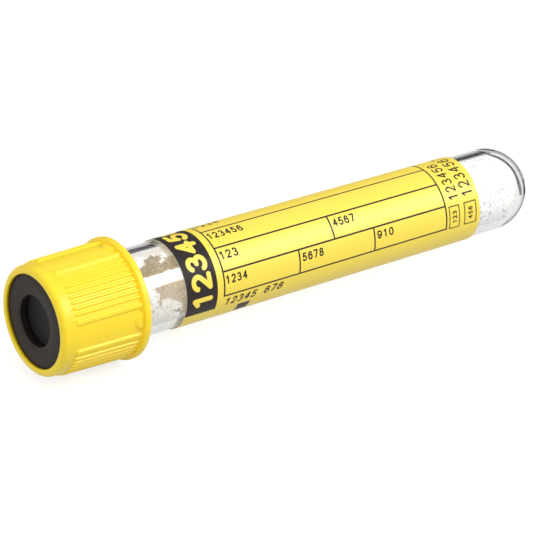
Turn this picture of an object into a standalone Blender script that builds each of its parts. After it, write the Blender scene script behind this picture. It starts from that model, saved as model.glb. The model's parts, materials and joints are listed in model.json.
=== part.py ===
# Urinalysis tube: a clear round-bottomed sample tube with a printed wrap label, a dry stabiliser
# powder inside, a rubber stopper and a ribbed screw cap with a push-in ring, lying on its side.
# Units are metres, +Z is up. The cap points to -X and the round bottom to +X.
# The tube rests on the cap's flange and on the shoulder of its bottom, so its axis slopes a little.

import math

import bmesh
import bpy
from mathutils import Matrix, Vector

MM = 0.001

# Facets round every turned piece. A flat, not a corner, faces the floor.
SEGMENTS = 64
POWDER_SEGMENTS = 32
PIP_SEGMENTS = 20

# Steps along the arcs of the section outlines.
EDGE_STEPS = 3
LIP_STEPS = 5
INNER_DOME_STEPS = 9
OUTER_DOME_STEPS = 10
DISH_STEPS = 4
RECESS_STEPS = 5
POWDER_DOME_STEPS = 6

# Points closer than this are one point, and edges sharper than this angle stay sharp.
MERGE_DISTANCE = 0.01 * MM
SHARP_ANGLE = math.radians(32)

# Clearances between pieces.
SEAT_GAP = 0.25 * MM
LABEL_GAP = 0.05 * MM

# Clear tube, moulded with a slight draft from the mouth to the bottom.
TUBE_LENGTH = 75.0 * MM
MOUTH_RADIUS = 6.26 * MM
SHOULDER_RADIUS = 5.94 * MM
WALL = 1.02 * MM
BOTTOM_THICKNESS = 1.2 * MM
RIM_ROUNDING = 0.3 * MM

# Two-start thread between the tube's neck and the cap's skirt.
THREAD_STARTS = 2
THREAD_LEAD = 7.5 * MM
THREAD_HEIGHT = 0.5 * MM
THREAD_FOOT = 1.0 * MM
THREAD_CREST = 0.5 * MM
THREAD_ROOTING = 0.2 * MM
THREAD_SPAN = math.radians(178)
THREAD_BELOW_MOUTH = 1.1 * MM
THREAD_SEAT_DROP = 1.0 * MM
THREAD_RUN_OUT = math.radians(22)
THREAD_END_SHARE = 0.15
THREAD_STEP = math.radians(5.9)

# Screw cap.
CAP_FRONT_STANDOFF = 8.5 * MM
CAP_LENGTH = 13.6 * MM
CAP_FRONT_RADIUS = 7.75 * MM
CAP_REAR_RADIUS = 7.93 * MM
LIP_ROUNDING = 0.75 * MM
LIP_INNER_RADIUS = 6.64 * MM
LIP_EDGE = 0.15 * MM
FLANGE_RADIUS = 8.6 * MM
FLANGE_THICKNESS = 1.05 * MM
FLANGE_ROUNDING = 0.3 * MM
COLLAR_THICKNESS = 0.8 * MM
COLLAR_OVERLAP = 0.55 * MM
SKIRT_CHAMFER = 0.3 * MM

# Grip ribs: four groups round the cap, each with a broad rib at both ends.
RIB_GROUPS = 4
FINE_RIBS = 8
FINE_RIB_PITCH = math.radians(5.8)
BROAD_RIB_ANGLE = math.radians(28.8)
RIB_START = 1.95 * MM
FINE_RIB_WIDTH = 0.44 * MM
FINE_RIB_HEIGHT = 0.25 * MM
BROAD_RIB_WIDTH = 0.85 * MM
BROAD_RIB_HEIGHT = 0.28 * MM
RIB_ROOTING = 0.25 * MM
RIB_EDGE_SHARE = 0.3
RIB_CLOCKING = math.radians(-45.8)
PIP_RADIUS = 1.2 * MM
PIP_HEIGHT = 0.26 * MM

# Push-in ring at the front of the cap.
RING_RECESS = 0.4 * MM
RING_THICKNESS = 1.0 * MM
RING_HOLE_RADIUS = 3.62 * MM
RING_EDGE = 0.12 * MM

# Rubber stopper, held in the cap by its groove and closing the tube with its plug.
BEAD_THICKNESS = 1.0 * MM
BEAD_RADIUS = 6.0 * MM
HEAD_RADIUS = 6.35 * MM
DISH_RADIUS = 3.9 * MM
DISH_DEPTH = 0.45 * MM
PLUG_DEPTH = 5.5 * MM
PLUG_TAPER = 0.25 * MM
PLUG_LEAD_IN = 0.8 * MM
PLUG_RECESS_RADIUS = 2.5 * MM
PLUG_RECESS_DEPTH = 6.0 * MM

# Wrap label, with a clear viewing strip left open at the back.
LABEL_THICKNESS = 0.1 * MM
LABEL_LENGTH = 51.0 * MM
LABEL_FROM_BOTTOM = 11.65 * MM
LABEL_STEPS = 56
LABEL_WINDOW_ANGLE = math.radians(138)

# Stabiliser powder, a loose bed on the low side of the tube.
POWDER_END_FROM_MOUTH = 10.0 * MM
POWDER_TOP_AT_NECK = -2.2 * MM
POWDER_TOP_AT_BOTTOM = 0.6 * MM
POWDER_WAVE = 0.28 * MM
POWDER_WAVE_LENGTH = 9.0 * MM
POWDER_WAVE_SKEW = 0.6
POWDER_CELLS_ALONG = 26
POWDER_CELLS_ACROSS = 6

# Colours and finishes: base colour, roughness, metallic, alpha.
CLEAR_PLASTIC = ((0.86, 0.89, 0.90), 0.05, 0.0, 0.3)
CAP_PLASTIC = ((1.0, 0.76, 0.03), 0.3, 0.0, 1.0)
RING_PLASTIC = ((0.035, 0.03, 0.03), 0.5, 0.0, 1.0)
STOPPER_RUBBER = ((0.035, 0.04, 0.055), 0.6, 0.0, 1.0)
LABEL_PAPER = ((0.95, 0.8, 0.12), 0.45, 0.0, 1.0)
POWDER_WHITE = ((0.85, 0.84, 0.8), 0.9, 0.0, 1.0)

# Places along the tube's own axis, measured from the tip of its round bottom towards the cap.
CAP_FRONT_Z = TUBE_LENGTH + CAP_FRONT_STANDOFF
CAP_REAR_Z = CAP_FRONT_Z - CAP_LENGTH
FLANGE_FRONT_Z = CAP_REAR_Z + FLANGE_THICKNESS
RING_FRONT_Z = CAP_FRONT_Z - RING_RECESS
RING_REAR_Z = RING_FRONT_Z - RING_THICKNESS
BEAD_TOP_Z = RING_REAR_Z - SEAT_GAP
BEAD_BASE_Z = BEAD_TOP_Z - BEAD_THICKNESS
COLLAR_TOP_Z = BEAD_BASE_Z - SEAT_GAP
COLLAR_BASE_Z = COLLAR_TOP_Z - COLLAR_THICKNESS
HEAD_TOP_Z = COLLAR_BASE_Z - SEAT_GAP
HEAD_BASE_Z = TUBE_LENGTH + SEAT_GAP
PLUG_END_Z = TUBE_LENGTH - PLUG_DEPTH

# Radii that follow from the neighbours.
DRAFT = (MOUTH_RADIUS - SHOULDER_RADIUS) / (TUBE_LENGTH - SHOULDER_RADIUS)
INNER_DOME_RADIUS = SHOULDER_RADIUS - WALL
INNER_MOUTH_RADIUS = MOUTH_RADIUS - WALL
INNER_DOME_Z = BOTTOM_THICKNESS + INNER_DOME_RADIUS
SKIRT_BORE = MOUTH_RADIUS + THREAD_HEIGHT + SEAT_GAP
BEAD_BORE = BEAD_RADIUS + SEAT_GAP
HEAD_BORE = HEAD_RADIUS + SEAT_GAP
COLLAR_BORE = BEAD_RADIUS - COLLAR_OVERLAP
GROOVE_RADIUS = COLLAR_BORE - SEAT_GAP
RING_OUTER_RADIUS = LIP_INNER_RADIUS - SEAT_GAP
PLUG_RADIUS = INNER_MOUTH_RADIUS - SEAT_GAP


def tube_radius(z):
    """Outer radius of the tube's straight part at a height along its axis."""
    return SHOULDER_RADIUS + (z - SHOULDER_RADIUS) * DRAFT


def bore_radius(z):
    """Radius of the tube's bore at a height above its inner dome."""
    share = (z - INNER_DOME_Z) / (TUBE_LENGTH - INNER_DOME_Z)
    return INNER_DOME_RADIUS + share * (INNER_MOUTH_RADIUS - INNER_DOME_RADIUS)


def cap_radius(z):
    """Outer radius of the cap's plain wall, which widens towards the flange."""
    share = (CAP_FRONT_Z - z) / (CAP_FRONT_Z - FLANGE_FRONT_Z)
    return CAP_FRONT_RADIUS + share * (CAP_REAR_RADIUS - CAP_FRONT_RADIUS)


def arc(centre_r, centre_z, radius, start, end, steps):
    """Points of an arc in the section plane, with angles in degrees from the outward direction."""
    points = []
    for step in range(steps + 1):
        angle = math.radians(start + (end - start) * step / steps)
        points.append((centre_r + radius * math.cos(angle), centre_z + radius * math.sin(angle)))
    return points


def resting_tilt():
    """Slope of the axis when the flange's edge and the round bottom both touch the floor."""
    flat = math.cos(math.pi / SEGMENTS)
    edge_r = (FLANGE_RADIUS - FLANGE_ROUNDING) * flat
    edge_z = CAP_REAR_Z + FLANGE_ROUNDING
    run = edge_z - SHOULDER_RADIUS
    distance = math.hypot(run, edge_r)
    return math.atan2(edge_r, run) + math.asin((FLANGE_ROUNDING - SHOULDER_RADIUS) * flat / distance)


TILT = resting_tilt()


def start_scene():
    """Empty the scene and make one collection for the parts and one for the cutters."""
    for item in list(bpy.data.objects):
        bpy.data.objects.remove(item, do_unlink=True)
    parts = bpy.data.collections.new("urinalysis_tube")
    cutters = bpy.data.collections.new("cutters")
    bpy.context.scene.collection.children.link(parts)
    bpy.context.scene.collection.children.link(cutters)
    return parts, cutters


PARTS, CUTTERS = start_scene()


def add_axis():
    """Empty on the tube's axis at the tip of its bottom: its +Z points out of the mouth."""
    axis = bpy.data.objects.new("tube_axis", None)
    PARTS.objects.link(axis)
    tip_x = SHOULDER_RADIUS
    height = SHOULDER_RADIUS * math.cos(math.pi / SEGMENTS)
    reach_back = (CAP_FRONT_Z - SHOULDER_RADIUS - LIP_ROUNDING) * math.cos(TILT)
    reach_back += (CAP_FRONT_RADIUS - LIP_ROUNDING) * math.sin(TILT) + LIP_ROUNDING
    centre_x = (reach_back + tip_x) / 2 - tip_x
    turn = Matrix.Rotation(TILT - math.pi / 2, 4, "Y")
    roll = Matrix.Rotation(math.pi / SEGMENTS, 4, "Z")
    shoulder = Matrix.Translation(Vector((centre_x, 0, height)))
    to_tip = Matrix.Translation(Vector((0, 0, -SHOULDER_RADIUS)))
    axis.matrix_world = shoulder @ turn @ roll @ to_tip
    return axis


AXIS = add_axis()


def add_material(name, finish):
    """Principled material from a colour, roughness, metallic value and alpha."""
    colour, roughness, metallic, alpha = finish
    material = bpy.data.materials.new(name)
    material.use_nodes = True
    shader = material.node_tree.nodes["Principled BSDF"]
    shader.inputs["Base Color"].default_value = (*colour, 1.0)
    shader.inputs["Roughness"].default_value = roughness
    shader.inputs["Metallic"].default_value = metallic
    shader.inputs["Alpha"].default_value = alpha
    material.diffuse_color = (*colour, alpha)
    return material


def place(name, mesh, collection=None):
    """Object on the tube's axis, in the parts' collection unless another is named."""
    item = bpy.data.objects.new(name, mesh)
    (collection or PARTS).objects.link(item)
    item.parent = AXIS
    return item


def mark_cutter(item):
    """Show a cutter or a joining shape as a wire frame only."""
    item.hide_render = True
    item.display_type = "WIRE"
    return item


def turned(name, profile, closed, segments=SEGMENTS, collection=None, angle=2 * math.pi):
    """Body turned from a section profile that runs down its outer side."""
    mesh = bpy.data.meshes.new(name)
    vertices = [(r, 0.0, z) for r, z in profile]
    edges = [(i, i + 1) for i in range(len(profile) - 1)]
    if closed:
        edges.append((len(profile) - 1, 0))
    mesh.from_pydata(vertices, edges, [])
    item = place(name, mesh, collection)
    screw = item.modifiers.new("turn", "SCREW")
    screw.axis = "Z"
    screw.angle = angle
    screw.steps = segments
    screw.render_steps = segments
    screw.use_merge_vertices = True
    screw.merge_threshold = MERGE_DISTANCE
    screw.use_smooth_shade = True
    return item


def combine(item, other, operation):
    """Boolean of one object with another, solved exactly."""
    boolean = item.modifiers.new(operation.lower() + "_" + other.name, "BOOLEAN")
    boolean.operation = operation
    boolean.solver = "EXACT"
    boolean.object = other


def settle(item, material):
    """Turn the modifiers into the final mesh, shade it smooth with sharp corners, add its material."""
    bpy.context.view_layer.update()
    graph = bpy.context.evaluated_depsgraph_get()
    mesh = bpy.data.meshes.new_from_object(item.evaluated_get(graph))
    item.modifiers.clear()
    item.data = mesh
    mesh.name = item.name
    mesh.shade_smooth()
    mesh.set_sharp_from_angle(angle=SHARP_ANGLE)
    mesh.materials.clear()
    mesh.materials.append(material)
    return item


def helical_ridges(name, foot_radius, crest_radius, first_z, first_angle):
    """Thread ridges, one for each start: a tapered section swept up the helix, run out at both ends."""
    mesh = bpy.data.meshes.new(name)
    shape = bmesh.new()
    outward = 1 if crest_radius > foot_radius else -1
    steps = round(THREAD_SPAN / THREAD_STEP)
    for start in range(THREAD_STARTS):
        rings = []
        for step in range(steps + 1):
            swept = THREAD_SPAN * step / steps
            ends = min(swept, THREAD_SPAN - swept) / THREAD_RUN_OUT
            share = min(1.0, THREAD_END_SHARE + (1 - THREAD_END_SHARE) * ends)
            height = abs(crest_radius - foot_radius) * share
            angle = first_angle + swept + 2 * math.pi * start / THREAD_STARTS
            centre_z = first_z + THREAD_LEAD * swept / (2 * math.pi)
            rooted = foot_radius - outward * THREAD_ROOTING
            section = [
                (rooted, -THREAD_FOOT / 2),
                (foot_radius + outward * height, -THREAD_CREST / 2),
                (foot_radius + outward * height, THREAD_CREST / 2),
                (rooted, THREAD_FOOT / 2),
            ]
            ring = []
            for radius, rise in section:
                point = (radius * math.cos(angle), radius * math.sin(angle), centre_z + rise)
                ring.append(shape.verts.new(point))
            rings.append(ring)
        for low, high in zip(rings, rings[1:]):
            for i in range(4):
                shape.faces.new((low[i], low[(i + 1) % 4], high[(i + 1) % 4], high[i]))
        shape.faces.new(rings[0])
        shape.faces.new(list(reversed(rings[-1])))
    bmesh.ops.recalc_face_normals(shape, faces=shape.faces)
    shape.to_mesh(mesh)
    shape.free()
    return mark_cutter(place(name, mesh, CUTTERS))


def thread_start_z():
    """Height at which the tube's ridges begin, so that they end a set distance below the mouth."""
    rise = THREAD_LEAD * THREAD_SPAN / (2 * math.pi)
    return TUBE_LENGTH - THREAD_BELOW_MOUTH - THREAD_FOOT / 2 - rise


def build_tube():
    """Clear tube: drafted wall, round bottom of even thickness, rounded rim and outer thread."""
    rim_z = TUBE_LENGTH - RIM_ROUNDING
    rim_outer = arc(MOUTH_RADIUS - RIM_ROUNDING, rim_z, RIM_ROUNDING, 90, 0, EDGE_STEPS)
    rim_inner = arc(INNER_MOUTH_RADIUS + RIM_ROUNDING, rim_z, RIM_ROUNDING, 180, 90, EDGE_STEPS)
    inside = arc(0, INNER_DOME_Z, INNER_DOME_RADIUS, -90, 0, INNER_DOME_STEPS)
    outside = arc(0, SHOULDER_RADIUS, SHOULDER_RADIUS, 0, -90, OUTER_DOME_STEPS)
    inside[0] = (0.0, BOTTOM_THICKNESS)
    outside[-1] = (0.0, 0.0)
    tube = turned("tube", inside + rim_inner + rim_outer + outside, closed=False)
    ridges = helical_ridges(
        "tube_thread", MOUTH_RADIUS, MOUTH_RADIUS + THREAD_HEIGHT, thread_start_z(), 0.0
    )
    combine(tube, ridges, "UNION")
    return settle(tube, add_material("clear_plastic", CLEAR_PLASTIC))


def rounded_bar(shape, width, height, length, place_matrix):
    """Bar with a rounded top, standing along +X and running along +Z, added to a mesh."""
    made = bmesh.ops.create_cube(shape, size=1.0)["verts"]
    sized = Matrix.Diagonal(Vector((height, width, length, 1.0)))
    moved = Matrix.Translation(Vector((height / 2, 0, length / 2)))
    bmesh.ops.transform(shape, matrix=moved @ sized, verts=made)
    edges = set()
    for vertex in made:
        edges.update(vertex.link_edges)
    top = [edge for edge in edges if all(v.co.x > height / 2 for v in edge.verts)]
    edge = width * RIB_EDGE_SHARE
    bevel = bmesh.ops.bevel(shape, geom=top, offset=edge, segments=2, profile=0.5, affect="EDGES")
    whole = set(made) | set(bevel["verts"])
    whole = [vertex for vertex in whole if vertex.is_valid]
    bmesh.ops.transform(shape, matrix=place_matrix, verts=whole)


def build_cap_ribs():
    """All grip ribs and the half-moon pips of the cap as one joining shape."""
    shape = bmesh.new()
    front_z = CAP_FRONT_Z - RIB_START
    rear_z = FLANGE_FRONT_Z - RIB_ROOTING
    front_r = cap_radius(front_z)
    rear_r = cap_radius(rear_z)
    slope = math.atan2(rear_r - front_r, front_z - rear_z)
    length = math.hypot(rear_r - front_r, front_z - rear_z)
    lean = Matrix.Rotation(-slope, 4, "Y")
    stand = Matrix.Translation(Vector((rear_r - RIB_ROOTING, 0, rear_z)))
    fine = [(index - (FINE_RIBS - 1) / 2) * FINE_RIB_PITCH for index in range(FINE_RIBS)]
    for group in range(RIB_GROUPS):
        middle = RIB_CLOCKING + 2 * math.pi * group / RIB_GROUPS
        for offset in fine:
            turn = Matrix.Rotation(middle + offset, 4, "Z")
            rounded_bar(shape, FINE_RIB_WIDTH, RIB_ROOTING + FINE_RIB_HEIGHT, length, turn @ stand @ lean)
        for side in (-1, 1):
            turn = Matrix.Rotation(middle + side * BROAD_RIB_ANGLE, 4, "Z")
            rounded_bar(shape, BROAD_RIB_WIDTH, RIB_ROOTING + BROAD_RIB_HEIGHT, length, turn @ stand @ lean)
        between = Matrix.Rotation(middle + math.pi / RIB_GROUPS, 4, "Z")
        add_pip(shape, between @ Matrix.Translation(Vector((CAP_REAR_RADIUS, 0, FLANGE_FRONT_Z))))
    mesh = bpy.data.meshes.new("cap_ribs")
    shape.to_mesh(mesh)
    shape.free()
    return mark_cutter(place("cap_ribs", mesh, CUTTERS))


def add_pip(shape, place_matrix):
    """Low disc that stands out of the cap's wall, with its rear half inside the flange."""
    lying = Matrix.Rotation(math.pi / 2, 4, "Y")
    height = RIB_ROOTING + PIP_HEIGHT
    seated = Matrix.Translation(Vector((PIP_HEIGHT - height / 2, 0, 0)))
    bmesh.ops.create_cone(
        shape,
        cap_ends=True,
        segments=PIP_SEGMENTS,
        radius1=PIP_RADIUS,
        radius2=PIP_RADIUS - PIP_HEIGHT / 2,
        depth=height,
        matrix=place_matrix @ seated @ lying,
    )


def build_cap():
    """Screw cap: rounded lip, widening wall, flange, ring recess, collar, head bore and thread."""
    profile = [(LIP_INNER_RADIUS + LIP_EDGE, CAP_FRONT_Z)]
    lean = math.degrees(math.atan2(CAP_REAR_RADIUS - CAP_FRONT_RADIUS, CAP_FRONT_Z - FLANGE_FRONT_Z))
    lip_z = CAP_FRONT_Z - LIP_ROUNDING
    profile += arc(CAP_FRONT_RADIUS - LIP_ROUNDING, lip_z, LIP_ROUNDING, 90, lean, LIP_STEPS)
    profile.append((cap_radius(FLANGE_FRONT_Z), FLANGE_FRONT_Z))
    rounding_r = FLANGE_RADIUS - FLANGE_ROUNDING
    profile += arc(rounding_r, FLANGE_FRONT_Z - FLANGE_ROUNDING, FLANGE_ROUNDING, 90, 0, EDGE_STEPS)
    profile += arc(rounding_r, CAP_REAR_Z + FLANGE_ROUNDING, FLANGE_ROUNDING, 0, -90, EDGE_STEPS)
    profile.append((SKIRT_BORE + SKIRT_CHAMFER, CAP_REAR_Z))
    profile.append((SKIRT_BORE, CAP_REAR_Z + SKIRT_CHAMFER))
    profile.append((SKIRT_BORE, TUBE_LENGTH))
    profile.append((HEAD_BORE, TUBE_LENGTH + SKIRT_BORE - HEAD_BORE))
    profile.append((HEAD_BORE, COLLAR_BASE_Z))
    profile.append((COLLAR_BORE, COLLAR_BASE_Z))
    profile.append((COLLAR_BORE, COLLAR_TOP_Z))
    profile.append((BEAD_BORE, COLLAR_TOP_Z))
    profile.append((BEAD_BORE, BEAD_TOP_Z))
    profile.append((LIP_INNER_RADIUS, BEAD_TOP_Z))
    profile.append((LIP_INNER_RADIUS, CAP_FRONT_Z - LIP_EDGE))
    cap = turned("screw_cap", profile, closed=True)
    combine(cap, build_cap_ribs(), "UNION")
    seat_z = thread_start_z() - THREAD_SEAT_DROP
    clear_angle = 2 * math.pi * (CAP_REAR_Z + THREAD_FOOT - seat_z) / THREAD_LEAD
    first_z = seat_z + THREAD_LEAD * clear_angle / (2 * math.pi)
    ridges = helical_ridges("cap_thread", SKIRT_BORE, SKIRT_BORE - THREAD_HEIGHT, first_z, clear_angle)
    combine(cap, ridges, "UNION")
    return settle(cap, add_material("yellow_cap_plastic", CAP_PLASTIC))


def build_ring():
    """Flat push-in ring that covers the stopper's bead and leaves its middle open."""
    profile = [
        (RING_HOLE_RADIUS + RING_EDGE, RING_FRONT_Z),
        (RING_OUTER_RADIUS - RING_EDGE, RING_FRONT_Z),
        (RING_OUTER_RADIUS, RING_FRONT_Z - RING_EDGE),
        (RING_OUTER_RADIUS, RING_REAR_Z),
        (RING_HOLE_RADIUS, RING_REAR_Z),
        (RING_HOLE_RADIUS, RING_FRONT_Z - RING_EDGE),
    ]
    ring = turned("cap_ring", profile, closed=True)
    return settle(ring, add_material("black_ring_plastic", RING_PLASTIC))


def build_stopper():
    """Rubber stopper: dished top, bead, groove for the cap's collar, head, plug and rear recess."""
    dish_sphere = (DISH_RADIUS ** 2 + DISH_DEPTH ** 2) / (2 * DISH_DEPTH)
    dish_angle = math.degrees(math.asin(DISH_RADIUS / dish_sphere))
    dish_centre_z = BEAD_TOP_Z - DISH_DEPTH + dish_sphere
    dish = arc(0, dish_centre_z, dish_sphere, -90, -90 + dish_angle, DISH_STEPS)
    dish[0] = (0.0, BEAD_TOP_Z - DISH_DEPTH)
    recess_top_z = PLUG_END_Z + PLUG_RECESS_DEPTH
    recess = arc(0, recess_top_z - PLUG_RECESS_RADIUS, PLUG_RECESS_RADIUS, 0, 90, RECESS_STEPS)
    recess[-1] = (0.0, recess_top_z)
    profile = dish + [
        (BEAD_RADIUS, BEAD_TOP_Z),
        (BEAD_RADIUS, BEAD_BASE_Z),
        (GROOVE_RADIUS, BEAD_BASE_Z),
        (GROOVE_RADIUS, HEAD_TOP_Z),
        (HEAD_RADIUS, HEAD_TOP_Z),
        (HEAD_RADIUS, HEAD_BASE_Z),
        (PLUG_RADIUS, HEAD_BASE_Z),
        (PLUG_RADIUS, TUBE_LENGTH - PLUG_DEPTH / 2),
        (PLUG_RADIUS - PLUG_TAPER, PLUG_END_Z + PLUG_LEAD_IN),
        (PLUG_RADIUS - PLUG_TAPER - PLUG_LEAD_IN / 2, PLUG_END_Z),
        (PLUG_RECESS_RADIUS, PLUG_END_Z),
    ] + recess
    stopper = turned("stopper", profile, closed=False)
    return settle(stopper, add_material("dark_rubber", STOPPER_RUBBER))


def build_label():
    """Thin label wrapped round the tube, open along a strip where the contents can be seen."""
    low_z = LABEL_FROM_BOTTOM
    high_z = LABEL_FROM_BOTTOM + LABEL_LENGTH
    line = [
        (tube_radius(high_z) + LABEL_GAP, high_z),
        (tube_radius(low_z) + LABEL_GAP, low_z),
    ]
    facet = 2 * math.pi / SEGMENTS
    label = turned("label", line, closed=False, segments=LABEL_STEPS, angle=LABEL_STEPS * facet)
    sheet = label.modifiers.new("thickness", "SOLIDIFY")
    sheet.thickness = LABEL_THICKNESS
    sheet.offset = 1.0
    window = 2 * math.pi - LABEL_STEPS * facet
    first_facet = round((LABEL_WINDOW_ANGLE + window / 2) / facet)
    label.rotation_euler = (0, 0, first_facet * facet)
    return settle(label, add_material("yellow_label_paper", LABEL_PAPER))


def build_powder():
    """Bed of powder: the tube's bore, less its gap, below a gently waved sloping surface."""
    end_z = TUBE_LENGTH - POWDER_END_FROM_MOUTH
    radius = INNER_DOME_RADIUS - SEAT_GAP
    bottom = arc(0, INNER_DOME_Z, radius, 0, -90, POWDER_DOME_STEPS)
    bottom[-1] = (0.0, INNER_DOME_Z - radius)
    outline = [(0.0, end_z), (bore_radius(end_z) - SEAT_GAP, end_z)] + bottom
    powder = turned("stabiliser_powder", outline, closed=False, segments=POWDER_SEGMENTS)
    combine(powder, powder_surface(end_z), "INTERSECT")
    return settle(powder, add_material("white_powder", POWDER_WHITE))


def powder_surface(end_z):
    """Block that fills the space below the powder's waved top, in the axis' own directions."""
    margin = 2 * SEAT_GAP
    block = bmesh.new()
    bmesh.ops.create_grid(
        block, x_segments=POWDER_CELLS_ALONG, y_segments=POWDER_CELLS_ACROSS, size=0.5
    )
    long_way = end_z + 2 * margin
    wide_way = 2 * MOUTH_RADIUS
    for vertex in block.verts:
        along = (vertex.co.x + 0.5) * long_way - margin
        across = vertex.co.y * wide_way
        share = min(1.0, max(0.0, along / end_z))
        top = POWDER_TOP_AT_BOTTOM + share * (POWDER_TOP_AT_NECK - POWDER_TOP_AT_BOTTOM)
        phase = 2 * math.pi * along / POWDER_WAVE_LENGTH
        skewed = across / MOUTH_RADIUS + POWDER_WAVE_SKEW * phase
        top += POWDER_WAVE * math.sin(phase) * math.cos(skewed)
        vertex.co = (top, across, along)
    raised = bmesh.ops.extrude_face_region(block, geom=block.faces[:])["geom"]
    lowered = [item for item in raised if isinstance(item, bmesh.types.BMVert)]
    for vertex in lowered:
        vertex.co.x = -MOUTH_RADIUS
    bmesh.ops.recalc_face_normals(block, faces=block.faces)
    mesh = bpy.data.meshes.new("powder_surface")
    block.to_mesh(mesh)
    block.free()
    surface = mark_cutter(place("powder_surface", mesh, CUTTERS))
    surface.rotation_euler = (0, 0, -math.pi / SEGMENTS)
    return surface


build_tube()
build_label()
build_powder()
build_stopper()
build_cap()
build_ring()
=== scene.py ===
import json
import math

import bmesh
import bpy
import numpy as np
from mathutils import Matrix, Vector, noise
from mathutils.geometry import delaunay_2d_cdt


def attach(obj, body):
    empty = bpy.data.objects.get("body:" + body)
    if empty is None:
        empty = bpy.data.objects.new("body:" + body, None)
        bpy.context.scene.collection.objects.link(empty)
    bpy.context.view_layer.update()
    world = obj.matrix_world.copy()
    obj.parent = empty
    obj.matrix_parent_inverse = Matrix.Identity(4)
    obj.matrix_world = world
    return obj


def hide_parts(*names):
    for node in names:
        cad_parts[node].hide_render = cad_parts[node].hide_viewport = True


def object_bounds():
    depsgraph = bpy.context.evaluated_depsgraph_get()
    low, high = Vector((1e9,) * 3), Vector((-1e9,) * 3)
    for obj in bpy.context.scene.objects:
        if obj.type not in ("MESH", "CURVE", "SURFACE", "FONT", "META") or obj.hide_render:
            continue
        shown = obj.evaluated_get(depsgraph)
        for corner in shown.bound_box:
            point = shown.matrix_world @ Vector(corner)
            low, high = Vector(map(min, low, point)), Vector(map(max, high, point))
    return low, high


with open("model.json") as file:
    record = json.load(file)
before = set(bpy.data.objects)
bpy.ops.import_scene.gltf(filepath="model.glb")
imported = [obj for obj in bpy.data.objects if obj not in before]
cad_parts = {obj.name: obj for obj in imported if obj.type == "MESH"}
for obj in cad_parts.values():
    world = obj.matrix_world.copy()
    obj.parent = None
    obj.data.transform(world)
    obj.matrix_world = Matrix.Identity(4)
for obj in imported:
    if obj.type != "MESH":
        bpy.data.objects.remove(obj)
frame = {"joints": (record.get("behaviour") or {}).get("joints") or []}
cad_low, cad_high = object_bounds()


# The tube: one injection moulding of clear PET, with a round bottom, a slight draft and a two-start
# screw thread outside its mouth. It lies on its side, on its bottom and on the cap's flange.
MM = 0.001
TUBE_LENGTH = 75.0
MOUTH_RADIUS = 6.26
SHOULDER_RADIUS = 5.94
WALL = 1.02
BOTTOM_THICKNESS = 1.2
RIM_ROUNDING = 0.3
TUBE_STEPS = 320

cap_turn = next(joint for joint in frame["joints"] if joint["name"] == "unscrew_turn")
outward = Vector(cap_turn["axis"]).normalized()
across = Vector((0, 1, 0))
upward = across.cross(outward)
bottom_tip = Vector(cap_turn["pos_m"]) - outward * TUBE_LENGTH * MM
TUBE_AXIS = Matrix((upward, across, outward)).transposed().to_4x4()
TUBE_AXIS.translation = bottom_tip


def linear(hex_colour):
    """Linear red, green, blue and alpha of an sRGB hex value."""
    channels = [int(hex_colour[i:i + 2], 16) / 255 for i in (0, 2, 4)]
    return [c / 12.92 if c <= 0.04045 else ((c + 0.055) / 1.055) ** 2.4 for c in channels] + [1.0]


def new_material(name):
    """Material with an empty node tree, its output and one Principled shader."""
    made = bpy.data.materials.new(name)
    made.use_nodes = True
    tree = made.node_tree
    tree.nodes.clear()
    shader = tree.nodes.new("ShaderNodeBsdfPrincipled")
    output = tree.nodes.new("ShaderNodeOutputMaterial")
    tree.links.new(shader.outputs["BSDF"], output.inputs["Surface"])
    return made, tree, shader


def set_inputs(node, inputs):
    """Set each input of a node to a value, or link it to another node's socket."""
    for name, value in inputs.items():
        if isinstance(value, bpy.types.NodeSocket):
            node.id_data.links.new(value, node.inputs[name])
        else:
            node.inputs[name].default_value = value


def add_node(tree, kind, inputs=None, **settings):
    """Node of one kind, with its settings, and its inputs set or linked."""
    made = tree.nodes.new(kind)
    for name, value in settings.items():
        setattr(made, name, value)
    set_inputs(made, inputs or {})
    return made


def per_mm(size):
    """Texture scale, in cycles a metre, for grains that are so many millimetres wide."""
    return 1 / (size * MM)


def arc(centre_r, centre_z, radius, start, end, steps):
    """Points of an arc in the section plane, with angles in degrees from the outward direction."""
    turn = np.radians(np.linspace(start, end, steps + 1))
    return [(centre_r + radius * math.cos(a), centre_z + radius * math.sin(a)) for a in turn]


def wall_points(radius, height, angle):
    """Points in metres, in the tube's own axes, from sizes in mm and angles in radians."""
    radius, height, angle = np.broadcast_arrays(radius, height, angle)
    return np.stack((radius * np.cos(angle), radius * np.sin(angle), height), axis=-1) * MM


def grid_faces(rows, columns, round_rows=False):
    """Quads between neighbouring rows of a grid whose columns go all the way round."""
    last = rows if round_rows else rows - 1
    low = np.arange(last)[:, None] * columns
    high = (low + columns) % (rows * columns)
    here = np.arange(columns)[None, :]
    after = (here + 1) % columns
    corners = (low + here, high + here, high + after, low + after)
    return np.stack(corners, axis=-1).reshape(-1, 4).tolist()


def scene_object(name, data):
    """New object of some data, linked into the scene."""
    made = bpy.data.objects.new(name, data)
    bpy.context.scene.collection.objects.link(made)
    return made


MERGE_DISTANCE = 0.0001
SMALLEST_FACE = 1e-16


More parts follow.
